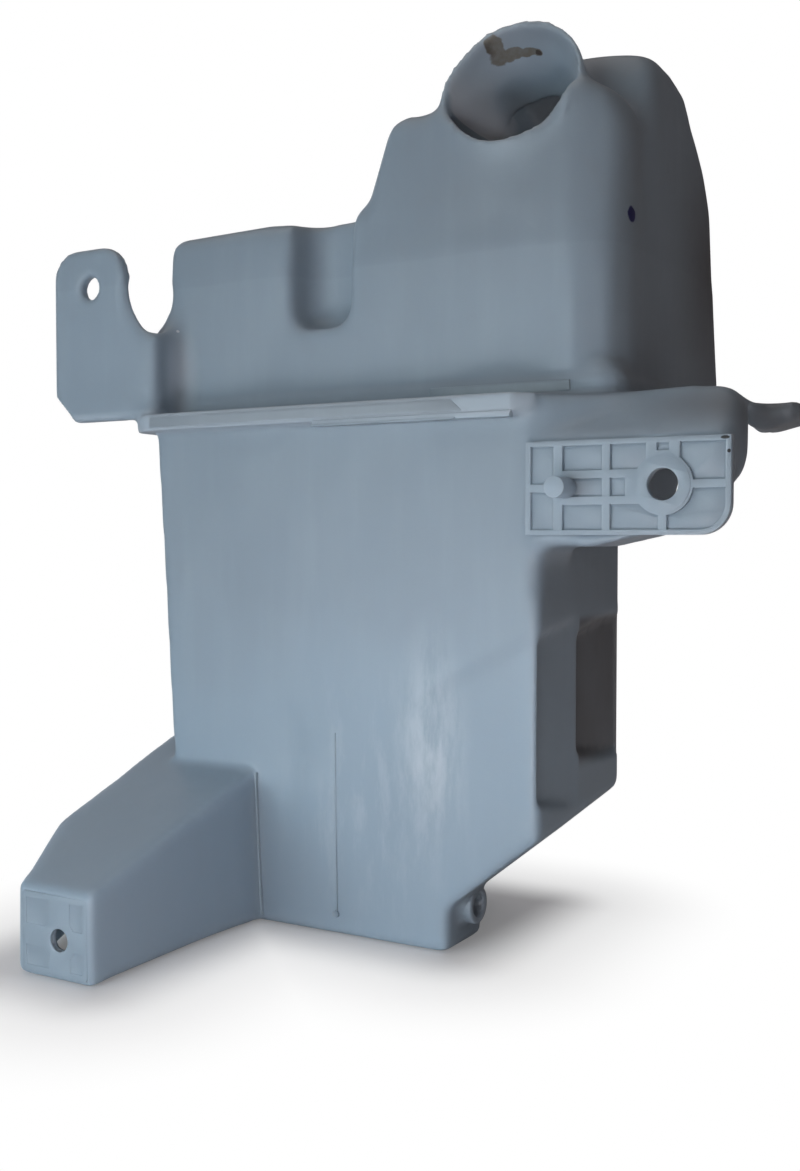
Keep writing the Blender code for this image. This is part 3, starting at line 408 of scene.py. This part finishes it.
class Wire:
    """One socket in a material, for sums written as Python expressions."""

    def __init__(self, tree, socket=None):
        self.tree = tree
        self.socket = socket

    def add(self, kind, values=(), out=0, **settings):
        """Adds a node of this kind: its settings first, then the values and links of its sockets."""
        node = self.tree.nodes.new(kind)
        for name, value in settings.items():
            setattr(node, name, value)
        for name, value in dict(values).items():
            if isinstance(value, Wire):
                self.tree.links.new(value.socket, node.inputs[name])
            else:
                node.inputs[name].default_value = value
        return Wire(self.tree, node.outputs[out] if node.outputs else None)

    def sum_of(self, operation, first, second):
        return self.add("ShaderNodeMath", {0: first, 1: second}, operation=operation)

    def __add__(self, other):
        return self.sum_of("ADD", self, other)

    __radd__ = __add__

    def __sub__(self, other):
        return self.sum_of("SUBTRACT", self, other)

    def __rsub__(self, other):
        return self.sum_of("SUBTRACT", other, self)

    def __mul__(self, other):
        return self.sum_of("MULTIPLY", self, other)

    __rmul__ = __mul__


def soft_step(value, start, end):
    """A mask that rises softly from 0 at start to 1 at end."""
    return value.add("ShaderNodeMapRange", {"Value": value, "From Min": start, "From Max": end},
                     interpolation_type="SMOOTHSTEP")


def spot(place, middle, size, core=0.8):
    """A mask that is 1 in the core of an ellipsoid and falls to 0 at its edge, all in millimetres."""
    moved = place.add("ShaderNodeMapping", {"Vector": place, "Location": [c * MM for c in middle],
                                            "Scale": [s * MM for s in size]}, vector_type="TEXTURE")
    length = place.add("ShaderNodeVectorMath", {0: moved}, out="Value", operation="LENGTH")
    return soft_step(length, 1.0, core)


def tint(base, colour, amount):
    """A colour with another mixed over it by a mask."""
    return amount.add("ShaderNodeMix", {0: amount, 6: base, 7: colour}, out=2, data_type="RGBA")


def milky_polyethylene(name, whitened=0.0):
    """Half matt natural polyethylene: cloudy, streaked, scuffed, dusty, white where it was cut, with
    painted highlights, light and shade.
    """
    material = bpy.data.materials.new(name)
    material.use_nodes = True
    tree = material.node_tree
    tree.nodes.clear()
    start = Wire(tree)
    place = start.add("ShaderNodeTexCoord", out="Object")

    def noise(scale, detail, stretch=(1, 1, 1), roughness=0.5):
        spread = start.add("ShaderNodeMapping", {"Vector": place, "Scale": stretch})
        return start.add("ShaderNodeTexNoise", {"Vector": spread, "Scale": scale, "Detail": detail,
                                                "Roughness": roughness})

    cloud = noise(16, 3)
    streak = noise(26, 4, stretch=(5, 5, 0.6))
    scuff = soft_step(noise(210, 6, stretch=(1, 1, 0.12), roughness=0.7), 0.62, 0.78)
    peel = noise(1500, 2)
    wobble = noise(38, 2)
    dust = soft_step(noise(75, 5, roughness=0.65), 0.55, 0.8)

    plain = (0.262, 0.322, 0.380, 1)
    deep = (0.226, 0.280, 0.332, 1)
    pale = (0.325, 0.390, 0.452, 1)
    colour = tint(plain, deep, soft_step(cloud, 0.35, 0.75) * 0.4)
    colour = tint(colour, pale, soft_step(streak, 0.45, 0.8) * 0.22)
    colour = tint(colour, pale, scuff * 0.18)
    colour = tint(colour, (0.25, 0.265, 0.275, 1), dust * 0.12)

    # A faint paler band round the upper chamber above the flange, and painted light: the lower part is
    # painted paler and bluer, as if lit more brightly low down
    along, depth, height_up = (start.add("ShaderNodeSeparateXYZ", {"Vector": place}, out=axis)
                               for axis in "XYZ")
    pale_band = (soft_step(height_up + (wobble - 0.5) * 0.002, 0.2262, 0.2248)
            * soft_step(height_up, 0.186, 0.200))
    colour = tint(colour, (0.36, 0.43, 0.50, 1), pale_band * 0.13)
    painted_low_light = soft_step(height_up + (cloud - 0.5) * 0.05, 0.125, 0.060)
    colour = tint(colour, (0.30, 0.40, 0.49, 1), painted_low_light * 0.55)

    # Painted highlight: the front is painted bright low down, on a patch that is also a little smoother;
    # painted shade darkens the back louvre panel, the hump's rear, the sump's side, the tab and the
    # hood's right end
    shine = noise(70, 5, stretch=(2.2, 1, 0.55), roughness=0.65)
    polish_and_painted_highlight = spot(place, (28, -26.5, 66), (17, 20, 50), core=0.0) * soft_step(shine, 0.30, 0.62)
    polish_and_painted_highlight = polish_and_painted_highlight + (spot(place, (6, -26.5, 46), (50, 20, 60), core=0.0)
                       * soft_step(shine, 0.45, 0.75) * 0.55)
    colour = tint(colour, (0.45, 0.52, 0.58, 1), polish_and_painted_highlight * 0.85)
    colour = tint(colour, (0.36, 0.45, 0.53, 1), 0.25 * whitened + streak * whitened)
    back_panel = soft_step(depth, 0.0062, 0.0076) * soft_step(along, 0.058, 0.062)
    back_panel = back_panel * soft_step(height_up, 0.056, 0.062) * soft_step(height_up, 0.1085, 0.1050)
    back_panel = back_panel * soft_step(along, 0.070, 0.068)
    # painted shade: the back louvre panel, the hump's rear, the sump's side, the tab and the hood's
    # right end are darkened
    painted_shade = back_panel * 1.5 + spot(place, (84, 92, 230), (12, 60, 75), core=0.0) * 1.5
    sump_side = spot(place, (38, 0, 18), (20, 48, 24), core=0.5) * soft_step(depth, -0.0250, -0.0215)
    painted_shade = painted_shade + sump_side * 0.7
    painted_shade = painted_shade + spot(place, (130, 14, 170), (14, 26, 12), core=0.3)
    painted_shade = painted_shade + spot(place, (120, -18, 172), (34, 12, 16), core=0.0)
    colour = tint(colour, (0.105, 0.105, 0.110, 1), painted_shade * (0.40 + cloud * 0.35))

    # Inside the mouth, painted shade darkens the top of the bore, and painted light makes the bore paler
    # lower down and at the lower lip
    rough_edge = start.add("ShaderNodeTexNoise", {"Vector": place, "Scale": 420, "Detail": 3},
                           out="Color")
    rough_shade = noise(520, 3)
    shaken = start.add("ShaderNodeVectorMath", {0: rough_edge, 1: (0.0022, 0.0022, 0.0022)},
                       operation="MULTIPLY")
    shaken = start.add("ShaderNodeVectorMath", {0: shaken, 1: place}, operation="ADD")
    off = start.add("ShaderNodeVectorMath", {0: place, 1: tuple(c * MM for c in MOUTH_MIDDLE)},
                    operation="SUBTRACT")
    off = start.add("ShaderNodeVectorMath", {0: off, 1: tuple(MOUTH_AXIS)},
                    operation="CROSS_PRODUCT")
    off = start.add("ShaderNodeVectorMath", {0: off}, out="Value", operation="LENGTH")
    bore = 1 - soft_step(off, 21.6 * MM, 22.2 * MM)
    painted_mouth_shade = bore * soft_step(height_up, 0.291, 0.301)
    colour = tint(colour, (0.150, 0.165, 0.190, 1), painted_mouth_shade * (0.30 + cloud * 0.25))
    # painted light: the lower, front part of the bore and the lower lip are painted paler
    painted_mouth_light = bore * soft_step(height_up, 0.293, 0.270) * soft_step(depth, 0.045, 0.035)
    painted_lip_light = spot(place, (26, 8, 266), (12, 13, 11), core=0.5)
    painted_mouth_light = start.add("ShaderNodeMath", {0: painted_mouth_light, 1: painted_lip_light}, operation="MAXIMUM")
    colour = tint(colour, (0.60, 0.62, 0.66, 1), painted_mouth_light * (0.70 + cloud * 0.25))

    # The flange's front band is painted paler, and the ear's web is painted paler too, painted light
    # standing in for light that shines through it
    pale_flange_band = (soft_step(height_up, 0.1695, 0.1712) * soft_step(height_up, 0.1800, 0.1785)
            * soft_step(depth, -0.0250, -0.0275))
    colour = tint(colour, (0.42, 0.48, 0.54, 1), pale_flange_band * (0.50 + streak * 0.20))
    painted_web_light = spot(place, (-83, -14, 193), (8, 8, 23), core=0.3)
    colour = tint(colour, (0.50, 0.57, 0.63, 1), painted_web_light * 0.7)

    # Painted shade on the shoulder under the mouth, and marks of use: a dried brown streak in the mouth,
    # blue ink, and a few specks
    painted_shoulder_shade = spot(place, (48, -8, 252), (62, 34, 48), core=0.2)
    colour = tint(colour, (0.16, 0.15, 0.15, 1), painted_shoulder_shade * 0.20)
    stain = spot(shaken, (34.2, 9.8, 299.4), (3.2, 5.2, 4.6))
    for middle, size in (((34.4, 13.4, 296.6), (3.4, 4.0, 4.2)), ((38.6, 15.2, 297.0), (4.6, 3.0, 2.6)),
                         ((43.5, 16.4, 297.0), (4.0, 2.2, 2.0)), ((47.2, 17.3, 296.8), (2.0, 1.8, 1.7))):
        stain = start.add("ShaderNodeMath", {0: stain, 1: spot(shaken, middle, size)},
                          operation="MAXIMUM")
    colour = tint(colour, (0.100, 0.083, 0.056, 1), stain * bore * (0.65 + rough_shade * 0.35))
    crust = spot(shaken, (31.8, 9.4, 298.2), (3.0, 4.4, 5.0), core=0.3)
    colour = tint(colour, (0.040, 0.032, 0.022, 1), crust * stain * bore * 0.75)
    dark_end = spot(shaken, (47.4, 17.5, 296.8), (1.3, 1.2, 1.2)) * bore
    colour = tint(colour, (0.035, 0.028, 0.024, 1), dark_end)
    blue_ink, black_speck = (0.004, 0.005, 0.085, 1), (0.012, 0.010, 0.010, 1)
    colour = tint(colour, blue_ink, spot(shaken, (85.1, 7.0, 236.2), (4.0, 3.0, 3.0)))
    colour = tint(colour, black_speck, spot(place, (123.3, -28.6, 161.0), (1.6, 1.6, 0.6)))
    colour = tint(colour, black_speck, spot(place, (124.4, -29.2, 157.2), (0.6, 0.8, 0.6)))
    colour = tint(colour, (0.60, 0.62, 0.64, 1), spot(place, (-87.0, -11.3, 209.2), (1.4, 1.0, 0.9)))

    roughness = 0.42 + (cloud - 0.5) * 0.12 + scuff * 0.14 + dust * 0.10 - polish_and_painted_highlight * 0.10
    height = wobble * 0.9 + peel * 0.035 + streak * 0.12
    bump = start.add("ShaderNodeBump", {"Height": height, "Distance": 0.0011, "Strength": 0.55})
    shader = start.add("ShaderNodeBsdfPrincipled",
                       {"Base Color": colour, "Roughness": roughness, "Normal": bump,
                        "IOR": 1.5, "Subsurface Weight": 0.5, "Subsurface Scale": 0.015,
                        "Subsurface Radius": (1.0, 1.0, 1.0)})
    start.add("ShaderNodeOutputMaterial", {"Surface": shader})
    return material


def dress(piece, plastic):
    """Gives the piece its plastic, and fixes it to the tank."""
    piece.data.materials.clear()
    piece.data.materials.append(plastic)
    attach(piece, "root")


polyethylene = milky_polyethylene("milky_polyethylene")
dress(tank_shell, polyethylene)
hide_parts("reservoir_tank")

# Bracket plate: the ribbed pad on the right that is bolted to the body.
# Pinched solid between the mould halves, with shallow cells between ribs,
# a round boss at the bolt hole and a locating pin.
PLATE_LEFT, PLATE_RIGHT = 62.5, 125.0
PLATE_LOW, PLATE_HIGH = 133.8, 161.8
PLATE_FACE, PLATE_REAR = -29.25, -26.3
PLATE_CORNER = 9.0
CELL_FLOOR = -27.95
RIB, RIM = 2.3, 1.5
BOLT_AT = (105.3, 148.3)
BOLT_HOLE = 4.7
BOSS, BOSS_RING = 8.9, 8.2
PIN_AT = (75.5, 147.8)
PIN = 3.15
PIN_TIP = -38.2
ROUND_ANGLE = math.radians(35)


def join_all(tools):
    """Joins a list of tools into the first one."""
    for tool in tools[1:]:
        carve(tools[0], tool, "UNION")
    return tools[0]


def shade_by_angle(piece, degrees=50):
    """Shades the piece smooth, apart from edges that turn by more than this angle."""
    take_up(piece)
    bpy.ops.object.shade_smooth_by_angle(angle=math.radians(degrees))


bracket_plate = add_block("bracket_plate", (PLATE_LEFT, PLATE_FACE, PLATE_LOW),
                          (PLATE_RIGHT, PLATE_REAR, PLATE_HIGH))
work_on(bracket_plate)
choose("EDGE", lambda at, way: abs(way.y) > 0.9 and at.x > 0.1 and at.z < 0.14)
bpy.ops.mesh.bevel(offset=PLATE_CORNER * MM, segments=12)
put_down()

cell_rows = [(PLATE_LOW + RIM, 142.8), (145.1, 150.5), (152.8, PLATE_HIGH - RIM)]
cells = [(PLATE_LEFT + RIM, 71.6, PLATE_LOW + RIM, 146.6),
         (PLATE_LEFT + RIM, 71.6, 149.0, PLATE_HIGH - RIM),
         (110.25, PLATE_RIGHT - RIM, 149.45, PLATE_HIGH - RIM),
         (106.45, PLATE_RIGHT - RIM, PLATE_LOW + RIM, 147.15),
         (103.35, 107.25, PLATE_HIGH - RIM - RIB, PLATE_HIGH - RIM),
         (74.35, 87.0, *cell_rows[0]), (74.35, 87.0, *cell_rows[1]), (74.35, 87.0, *cell_rows[2]),
         (89.3, 104.15, *cell_rows[0]), (89.3, 94.1, *cell_rows[1]), (89.3, 100.35, *cell_rows[2])]
cell_blocks = []
for left, right, low, high in cells:
    block = add_block("cell", (left, PLATE_FACE - 2, low), (right, CELL_FLOOR, high))
    if right > PLATE_RIGHT - 2 and low < PLATE_LOW + 2:
        work_on(block)
        choose("EDGE", lambda at, way: abs(way.y) > 0.9 and at.x > 0.12 and at.z < 0.14)
        bpy.ops.mesh.bevel(offset=(PLATE_CORNER - RIM) * MM, segments=10)
        put_down()
    cell_blocks.append(block)
cell_tool = join_all(cell_blocks)
carve(cell_tool, add_rod("boss_keep", BOLT_AT, PLATE_FACE - 5, PLATE_REAR, BOSS))
work_on(cell_tool)
choose("FACE", lambda at, normal: normal.y > 0.9)
bpy.ops.mesh.inset(thickness=0.75 * MM, depth=-0.45 * MM)
put_down()
carve(bracket_plate, cell_tool)

boss_ring = add_rod("boss_ring", BOLT_AT, PLATE_FACE - 0.2, PLATE_FACE + 1, BOSS_RING)
carve(bracket_plate, boss_ring, "UNION")
pin = add_rod("locating_pin", PIN_AT, PIN_TIP, PLATE_REAR - 0.5, PIN, sides=40)
carve(bracket_plate, pin, "UNION")
carve(bracket_plate, add_rod("bolt_hole", BOLT_AT, -60, 0, BOLT_HOLE))
finish_with(bracket_plate, "BEVEL", width=0.32 * MM, segments=2, limit_method="ANGLE",
            angle_limit=ROUND_ANGLE, use_clamp_overlap=True)
shade_by_angle(bracket_plate)
pinched_polyethylene = milky_polyethylene("pinched_polyethylene", whitened=0.3)
dress(bracket_plate, pinched_polyethylene)

# Foot pad: the shallow embossed face on the end of the foot, round its bolt hole.
# The mould presses it flat so that it sits square on the body.
PAD_FACE, PAD_REAR = -107.22, -106.2
FOOT_BOLT_AT = (-54.0, 12.7)
FOOT_BOSS, FOOT_HOLE = 6.6, 3.5
foot_pad = add_block("foot_pad", (-69.2, PAD_FACE, 1.7), (-42.8, PAD_REAR, 26.1))
work_on(foot_pad)
choose("EDGE", lambda at, way: abs(way.y) > 0.9)
bpy.ops.mesh.bevel(offset=1.2 * MM, segments=5)
put_down()
pad_cells = [(-67.4, -58.2, 16.2, 24.2), (-49.6, -44.6, 16.2, 24.2),
             (-67.4, -58.2, 3.6, 9.8), (-49.6, -44.6, 3.6, 9.8)]
PAD_CELL_FLOOR = PAD_FACE + 0.3
pad_tool = join_all([add_block("cell", (left, PAD_FACE - 2, low), (right, PAD_CELL_FLOOR, high))
                     for left, right, low, high in pad_cells])
carve(pad_tool, add_rod("hole_keep", FOOT_BOLT_AT, -115, -100, FOOT_BOSS))
carve(foot_pad, pad_tool)
carve(foot_pad, add_rod("foot_hole", FOOT_BOLT_AT, -115, -100, FOOT_HOLE))
finish_with(foot_pad, "BEVEL", width=0.28 * MM, segments=2, limit_method="ANGLE",
            angle_limit=ROUND_ANGLE, use_clamp_overlap=True)
shade_by_angle(foot_pad)
dress(foot_pad, polyethylene)

# Pump port: the short collar on the side of the sump that takes the pump's grommet.
# It is blown with the tank and bored afterwards.
PORT_RADIUS, PORT_LENGTH, PORT_WALL, PORT_DEPTH = 6.1, 8.0, 2.4, 6.5
PORT_END = (39.45, -13.75, 13.8)
pump_port = add_rod("pump_port", (0, 0), -PORT_LENGTH, 0.0, PORT_RADIUS)
work_on(pump_port)
choose("FACE", lambda at, normal: normal.y > 0.9)
bpy.ops.mesh.inset(thickness=PORT_WALL * MM)
bpy.ops.mesh.extrude_region_move(TRANSFORM_OT_translate={"value": (0, -PORT_DEPTH * MM, 0)})
put_down()
finish_with(pump_port, "BEVEL", width=0.55 * MM, segments=3, limit_method="ANGLE",
            angle_limit=math.radians(40))
pump_port.rotation_euler = (0, 0, -math.pi / 2)
pump_port.location = [c * MM for c in PORT_END]
take_up(pump_port)
bpy.ops.object.transform_apply(location=True, rotation=True, scale=True)
shade_by_angle(pump_port)
dress(pump_port, polyethylene)

# Seam flash: thin strips that are left where the pinched edge of the flange was trimmed.
# They are part of the same moulding, cut by hand, so their ends are uneven.
cut_polyethylene = milky_polyethylene("cut_polyethylene", whitened=0.85)


def add_strip(name, low, high, edge=0.25, slant=0.0, lean=0.0):
    """A thin trimmed strip between two corners, its right end cut at a slant and its foot set aside."""
    strip = add_block(name, low, high)
    work_on(strip)
    middle_x, middle_z = (low[0] + high[0]) / 2 * MM, (low[2] + high[2]) / 2 * MM
    choose("VERT", lambda at, normal: at.x > middle_x and at.z > middle_z)
    bpy.ops.transform.translate(value=(-slant * MM, 0, 0))
    choose("VERT", lambda at, normal: at.z < middle_z)
    bpy.ops.transform.translate(value=(lean * MM, 0, 0))
    bpy.ops.mesh.select_all(action="SELECT")
    bpy.ops.mesh.subdivide(number_cuts=3)
    put_down()
    at = places(strip)
    moves = np.zeros_like(at)
    moves[:, 2] = 0.10 * np.sin(at[:, 0] / 4.3 + len(name)) * (at[:, 2] < (low[2] + high[2]) / 2)
    shift(strip, moves)
    finish_with(strip, "BEVEL", width=edge * MM, segments=2, limit_method="ANGLE",
                angle_limit=math.radians(50))
    shade_by_angle(strip)
    dress(strip, cut_polyethylene)


add_strip("flange_drop", (-14.6, -30.15, 169.9), (57.0, -25.8, 171.9), slant=-1.0)
add_strip("flange_flash", (-84.0, -30.38, 172.4), (41.2, -29.9, 176.0), edge=0.1, slant=4.0)
add_strip("flange_edge", (-14.6, -30.6, 169.8), (38.5, -29.9, 170.5), edge=0.15, slant=-0.5)
add_strip("ledge_flash", (20.0, -11.45, 178.9), (69.4, -10.6, 182.3), edge=0.15, slant=0.3)

# Mould lines: fine raised lines down the front where the mould's parts met.
# The plastic crept into the joints, and left a round vent mark at the foot of one.
add_strip("mould_line_middle", (-8.2, -26.42, 8.0), (-7.8, -25.9, 68.0), edge=0.1, lean=0.6)
add_strip("mould_line_foot", (-40.2, -27.9, 3.0), (-39.7, -26.0, 52.0), edge=0.1, lean=2.4)
VENT_RIM, VENT_DIP = 0.4, 0.25
vent_mark = add_rod("vent_mark", (-7.8, 7.2), -26.7, -25.8, 1.2, sides=24)
work_on(vent_mark)
choose("FACE", lambda at, normal: normal.y < -0.9)
bpy.ops.mesh.inset(thickness=VENT_RIM * MM)
bpy.ops.transform.translate(value=(0, VENT_DIP * MM, 0))
put_down()
shade_by_angle(vent_mark, 40)
dress(vent_mark, polyethylene)

# Studio: a pale floor that keeps the tank's shadow, with a painted shadow round the sump and foot, and
# six soft lamps in a plain white room.
# Two stand low at the front left, and the others light the foot, the right side, the top and the back.
floor = add_block("floor", (-4000, -4000, -20), (4000, 4000, -0.2))
work_on(floor)
choose("FACE", lambda at, normal: normal.z > 0.9)
bpy.ops.mesh.inset(thickness=0.5)
put_down()

# Where the sump and the foot stand: the middle and half the size of each, in metres
FOOTPRINT = [((-0.0255, 0.009, 0), (0.0595, 0.0355, 0.1)), ((-0.063, -0.0665, 0), (0.022, 0.0405, 0.1))]


def pale_floor():
    """Matt white paper that keeps its shadow, darkened by a painted shadow round the sump and foot, and
    runs out into the white of the room.
    """
    material = bpy.data.materials.new("floor_paper")
    material.use_nodes = True
    tree = material.node_tree
    tree.nodes.clear()
    start = Wire(tree)
    place = start.add("ShaderNodeTexCoord", out="Object")
    gaps = []
    for middle, half in FOOTPRINT:
        out = start.add("ShaderNodeVectorMath", {0: place, 1: middle}, operation="SUBTRACT")
        out = start.add("ShaderNodeVectorMath", {0: out}, operation="ABSOLUTE")
        out = start.add("ShaderNodeVectorMath", {0: out, 1: half}, operation="SUBTRACT")
        out = start.add("ShaderNodeVectorMath", {0: out, 1: (0, 0, 0)}, operation="MAXIMUM")
        gaps.append(start.add("ShaderNodeVectorMath", {0: out}, out="Value", operation="LENGTH"))
    away = start.add("ShaderNodeMath", {0: gaps[0], 1: gaps[1]}, operation="MINIMUM")
    fleck = start.add("ShaderNodeTexNoise", {"Vector": place, "Scale": 350, "Detail": 3})
    paper = tint((0.88, 0.87, 0.87, 1), (0.84, 0.83, 0.83, 1), fleck * 0.3)
    matt = start.add("ShaderNodeBsdfPrincipled", {"Base Color": paper, "Roughness": 0.8})
    glow = start.add("ShaderNodeEmission", {"Color": (1, 1, 1, 1), "Strength": 1.0})
    seen = start.add("ShaderNodeLightPath", out="Is Camera Ray")
    # painted shadow: less white glow is mixed in near the sump and foot, so the paper darkens round them
    share = seen * (0.12 + 0.50 * soft_step(away, -0.004, 0.030) + 0.38 * soft_step(away, 0.0, 0.075))
    both = start.add("ShaderNodeMixShader", {0: share, 1: matt, 2: glow})
    start.add("ShaderNodeOutputMaterial", {"Surface": both})
    return material


floor.data.materials.append(pale_floor())


def add_lamp(name, location, towards, width, height, power, colour):
    """A soft rectangular lamp that faces a point."""
    bpy.ops.object.select_all(action="DESELECT")
    bpy.ops.object.light_add(type="AREA", location=location)
    lamp = bpy.context.object
    lamp.name = name
    lamp.data.shape = "RECTANGLE"
    lamp.data.size = width
    lamp.data.size_y = height
    lamp.data.energy = power
    lamp.data.color = colour
    lamp.visible_camera = False
    lamp.rotation_euler = (Vector(towards) - Vector(location)).to_track_quat("-Z", "Y").to_euler()


add_lamp("low_window", (-0.20, -0.50, 0.05), (-0.02, 0, 0.05), 0.30, 0.08, 0.50, (0.73, 0.87, 1.0))
add_lamp("wide_window", (-0.30, -1.10, 0.22), (0, 0, 0.12), 0.8, 0.4, 3.8, (0.80, 0.95, 1.0))
add_lamp("foot_fill", (0.10, -0.27, 0.03), (-0.02, 0, 0.03), 0.12, 0.05, 0.19, (1.0, 0.96, 1.0))
add_lamp("right_fill", (0.60, -0.80, 0.15), (0, 0, 0.1), 0.4, 0.3, 0.6, (1.0, 0.84, 0.80))
add_lamp("top_lamp", (-0.25, -0.15, 1.4), (0, 0, 0), 1.4, 1.4, 4.2, (1.0, 0.90, 0.85))
add_lamp("back_lamp", (-0.9, 1.1, 0.55), (0, 0.05, 0.12), 1.8, 1.2, 4.0, (0.92, 0.93, 1.0))

world = bpy.data.worlds.new("white_room")
bpy.context.scene.world = world
world.use_nodes = True
world.node_tree.nodes.clear()
room = Wire(world.node_tree)
seen = room.add("ShaderNodeLightPath", out="Is Camera Ray")
dim = room.add("ShaderNodeBackground", {"Color": (1, 0.90, 0.90, 1), "Strength": 0.085})
white = room.add("ShaderNodeBackground", {"Color": (1, 1, 1, 1), "Strength": 1.0})
mixed = room.add("ShaderNodeMixShader", {0: seen, 1: dim, 2: white})
room.add("ShaderNodeOutputWorld", {"Surface": mixed})

bpy.ops.object.select_all(action="DESELECT")
bpy.ops.object.camera_add(location=(0.2265, -0.38915, 0.1323))
camera = bpy.context.object
turn, drop = math.radians(30), math.radians(2)
view = Vector((-math.sin(turn) * math.cos(drop), math.cos(turn) * math.cos(drop), -math.sin(drop)))
camera.rotation_euler = view.to_track_quat("-Z", "Y").to_euler()
camera.data.lens = 39.97
camera.data.sensor_width = 36
camera.data.clip_start = 0.01
bpy.context.scene.camera = camera
bpy.context.scene.view_settings.view_transform = "Standard"
